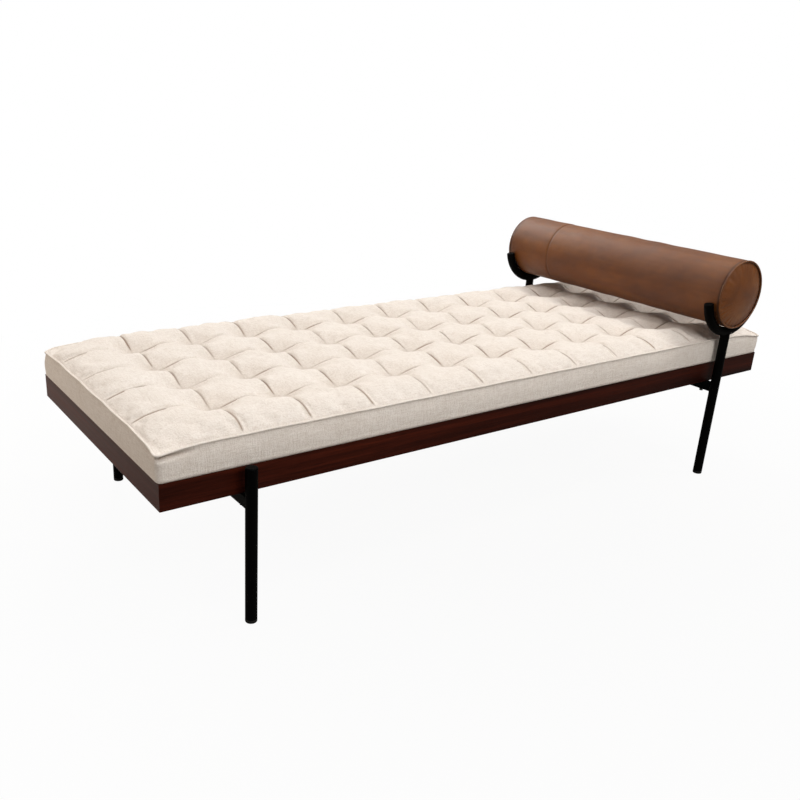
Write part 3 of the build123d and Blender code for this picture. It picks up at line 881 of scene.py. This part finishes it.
def add_mattress():
    """The mattress cover, and the welt along its top edge."""
    points, faces, loop, outward, folds = mattress_form()
    cover = new_piece("mattress_cover", points, faces, COVER_LINEN)
    set_painted_shade(cover, folds)
    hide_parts("mattress_top_panel", "mattress_side_band", "mattress_bottom_panel", "mattress_core")
    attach(cover, "mattress")

    path = loop.copy()
    path[:, :2] += outward * WELT_OUT
    path[:, 2] += WELT_UP
    points, faces = closed_tube(path, WELT_RADIUS, WELT_SIDES)
    welt = new_piece("mattress_welt", points, faces, WELT_LINEN)
    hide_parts("mattress_piping")
    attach(welt, "mattress")


def gathered(angles):
    """Uneven small gathers round a sewn circle, between -1 and 1."""
    relief = np.zeros_like(angles)
    for count in GATHER_COUNTS:
        wave = np.cos(count * angles + rng.uniform(0, 2 * np.pi))
        relief += wave * (0.5 + 0.5 * np.cos(rng.integers(1, 4) * angles + rng.uniform(0, 2 * np.pi)))
    return relief / GATHER_PEAK


def sleeve_rumple(y, angles):
    """Slight unevenness of the leather round the bolster's padding."""
    relief = np.zeros_like(angles)
    for turns, length, shift in SLEEVE_WAVES:
        relief += SLEEVE_RUMPLE * np.cos(turns * angles + 2 * np.pi * (y / length + shift))
    return relief


def sleeve_ring(y, half, radius, angles, gathers):
    """One ring of the bolster's sleeve: its place along Y, its radius and its painted shade. The leather
    is drawn in at its ends, and laps over itself at a cross seam."""
    inset = half - abs(y)
    from_seam = y - CROSS_SEAM_PLACE
    end_pull = END_PULL * np.exp(-inset / END_PULL_REACH)
    gather = END_GATHER * gathers * np.exp(-inset / END_GATHER_REACH) * smooth_step(inset / END_GATHER_START)
    lap = CROSS_SEAM_LAP * smooth_step(from_seam / CROSS_SEAM_LAP_WIDTH)
    seam = CROSS_SEAM_DEPTH * np.exp(-(from_seam / CROSS_SEAM_WIDTH) ** 2)
    shade = max(END_SHADE * np.exp(-((inset - END_SHADE_INSET) / END_SHADE_WIDTH) ** 2),
                CROSS_SEAM_SHADE * np.exp(-(from_seam / CROSS_SEAM_SHADE_WIDTH) ** 2))
    return y, radius - SLEEVE_INSET + lap - end_pull - seam - gather + sleeve_rumple(y, angles), shade


def cap_ring(end, share, half, rise, cap_radius, gathers):
    """One ring of a domed end, at a share of its radius: its place along Y, its radius and its
    painted shade.
    """
    pucker = CAP_PUCKER * gathers * share ** CAP_PUCKER_POWER * smooth_step((1 - share) / CAP_PUCKER_FADE)
    shade = CAP_SHADE * smooth_step((share - CAP_SHADE_START) / CAP_SHADE_WIDTH)
    return end * (half + rise * (1 - share ** CAP_ROUNDNESS) + pucker), cap_radius * share, shade


def add_bolster():
    """The leather cover of the bolster as one closed form: sleeve and two domed ends."""
    centre = (sleeve_low + sleeve_high) / 2
    radius = (sleeve_high[2] - sleeve_low[2]) / 2
    half = (sleeve_high[1] - sleeve_low[1]) / 2
    cap_radius = (cap_high[2] - cap_low[2]) / 2
    rise = cap_high[1] - cap_low[1] + CAP_FULLNESS
    rim_radius = cap_radius + RIM_SHARE * (radius - cap_radius)
    angles = 2 * np.pi * np.arange(BOLSTER_TURNS) / BOLSTER_TURNS
    gathers = {end: gathered(angles) for end in (-1, 1)}

    cap_shares = np.linspace(CAP_MIDDLE, 1.0, CAP_STEPS)
    profile = [cap_ring(-1, share, half, rise, cap_radius, gathers[-1]) for share in cap_shares]
    profile.append((-half, rim_radius, RIM_SHADE))
    for share in np.linspace(-1, 1, BOLSTER_STEPS):
        profile.append(sleeve_ring(half * share, half, radius, angles, gathers[np.sign(share)]))
    profile.append((half, rim_radius, RIM_SHADE))
    profile.extend(cap_ring(1, share, half, rise, cap_radius, gathers[1]) for share in cap_shares[::-1])

    points = np.empty((len(profile), BOLSTER_TURNS, 3))
    for ring, (y, r, _) in zip(points, profile):
        ring[:, 0] = centre[0] + r * np.cos(angles)
        ring[:, 1] = centre[1] + y
        ring[:, 2] = centre[2] + r * np.sin(angles)
    index = np.arange(len(profile) * BOLSTER_TURNS).reshape(len(profile), BOLSTER_TURNS)
    faces = ring_faces(index)
    faces.append(index[0].tolist())
    faces.append(index[-1, ::-1].tolist())
    cover = new_piece("bolster_cover", points.reshape(-1, 3), faces, LEATHER)
    set_painted_shade(cover, np.repeat([shade for _, _, shade in profile], BOLSTER_TURNS))
    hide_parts("bolster_sleeve", "bolster_cap_front", "bolster_cap_rear", "bolster_foam")
    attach(cover, "bolster")


def add_light(name, place, target, size, power, colour):
    """A round lamp that faces a target. size is in metres and power in watts."""
    data = bpy.data.lights.new(name, "AREA")
    data.shape = "DISK"
    data.size = size
    data.energy = power
    data.color = colour
    light = bpy.data.objects.new(name, data)
    light.location = place
    light.rotation_euler = (Vector(target) - Vector(place)).to_track_quat("-Z", "Y").to_euler()
    bpy.context.collection.objects.link(light)


def world_gradient(tree, way, towards, limits):
    """A value that follows how far a way points towards another one."""
    dot = tree.nodes.new("ShaderNodeVectorMath")
    dot.operation = "DOT_PRODUCT"
    dot.inputs[1].default_value = towards
    tree.links.new(way, dot.inputs[0])
    made = tree.nodes.new("ShaderNodeMapRange")
    for socket, value in zip(("From Min", "From Max", "To Min", "To Max"), limits):
        made.inputs[socket].default_value = value
    tree.links.new(dot.outputs["Value"], made.inputs["Value"])
    return made.outputs["Result"]


def add_world():
    """White to the camera. Its light on the object comes mostly from above, and is warm from the foot end."""
    world = bpy.data.worlds.new("studio_world")
    bpy.context.scene.world = world
    world.use_nodes = True
    tree = world.node_tree
    way = tree.nodes.new("ShaderNodeTexCoord").outputs["Generated"]
    level = world_gradient(tree, way, BRIGHT_WAY, BRIGHT_LEVELS)
    warmth = world_gradient(tree, way, WARM_WAY, WARM_LEVELS)
    tint = tree.nodes.new("ShaderNodeMix")
    tint.data_type = "RGBA"
    tint.inputs[6].default_value = COOL_TINT
    tint.inputs[7].default_value = WARM_TINT
    tree.links.new(warmth, tint.inputs[0])
    background = tree.nodes["Background"]
    tree.links.new(tint.outputs[2], background.inputs["Color"])
    tree.links.new(level, background.inputs["Strength"])
    white = tree.nodes.new("ShaderNodeBackground")
    white.inputs["Color"].default_value = WHITE
    white.inputs["Strength"].default_value = 1.0
    rays = tree.nodes.new("ShaderNodeLightPath")
    choose = tree.nodes.new("ShaderNodeMixShader")
    tree.links.new(rays.outputs["Is Camera Ray"], choose.inputs[0])
    tree.links.new(background.outputs[0], choose.inputs[1])
    tree.links.new(white.outputs[0], choose.inputs[2])
    tree.links.new(choose.outputs[0], tree.nodes["World Output"].inputs["Surface"])


def floor_material():
    """White to the camera, with the object's soft shadow left in it. To the light it is dark before the
    object and pale behind it."""
    s = Shader("studio_floor")
    s.set(Roughness=0.9, Specular_IOR_Level=0.0)
    spot = s.add("ShaderNodeTexCoord").outputs["Object"]
    depth = s.add("ShaderNodeSeparateXYZ", {0: spot}).outputs["Y"]
    tones = [(0.0, (0.10, 0.095, 0.09, 1)), (1.0, (0.66, 0.63, 0.59, 1))]
    s.join(s.ramp(s.spread(depth, 0.0, 1.0, start=-1.7, end=1.0), tones), "Base Color")
    glow = s.add("ShaderNodeEmission", Color=WHITE, Strength=1.0)
    rays = s.add("ShaderNodeLightPath")
    away = s.add("ShaderNodeVectorMath", {0: spot}, operation="LENGTH").outputs["Value"]
    white = s.spread(away, 0.94, 1.0, start=0.5, end=2.0)
    amount = s.add("ShaderNodeMath", {0: rays.outputs["Is Camera Ray"], 1: white}, operation="MULTIPLY")
    choose = s.add("ShaderNodeMixShader", {0: amount.outputs[0], 1: s.surface.outputs[0], 2: glow.outputs[0]})
    s.tree.links.new(choose.outputs[0], s.tree.nodes["Material Output"].inputs["Surface"])
    return s.material


def add_studio():
    """A pale floor, a white surround to the camera, and soft light."""
    corners = [(FLOOR_HALF * x, FLOOR_HALF * y, 0) for x, y in ((-1, -1), (1, -1), (1, 1), (-1, 1))]
    floor = new_piece("studio_floor", corners, [(0, 1, 2, 3)], floor_material(), smooth=False)
    add_world()
    for light in LIGHTS:
        add_light(*light)


add_camera()
COVER_LINEN = linen("oatmeal_linen_cover", LINEN_TONES, paint_fold_shade=True)
WELT_LINEN = linen("oatmeal_linen_welt", WELT_TONES)
LEATHER = leather("brown_waxed_leather", 1.0)
dress_nodes()
add_mattress()
add_bolster()
add_studio()
bpy.context.scene.view_settings.view_transform = "Standard"
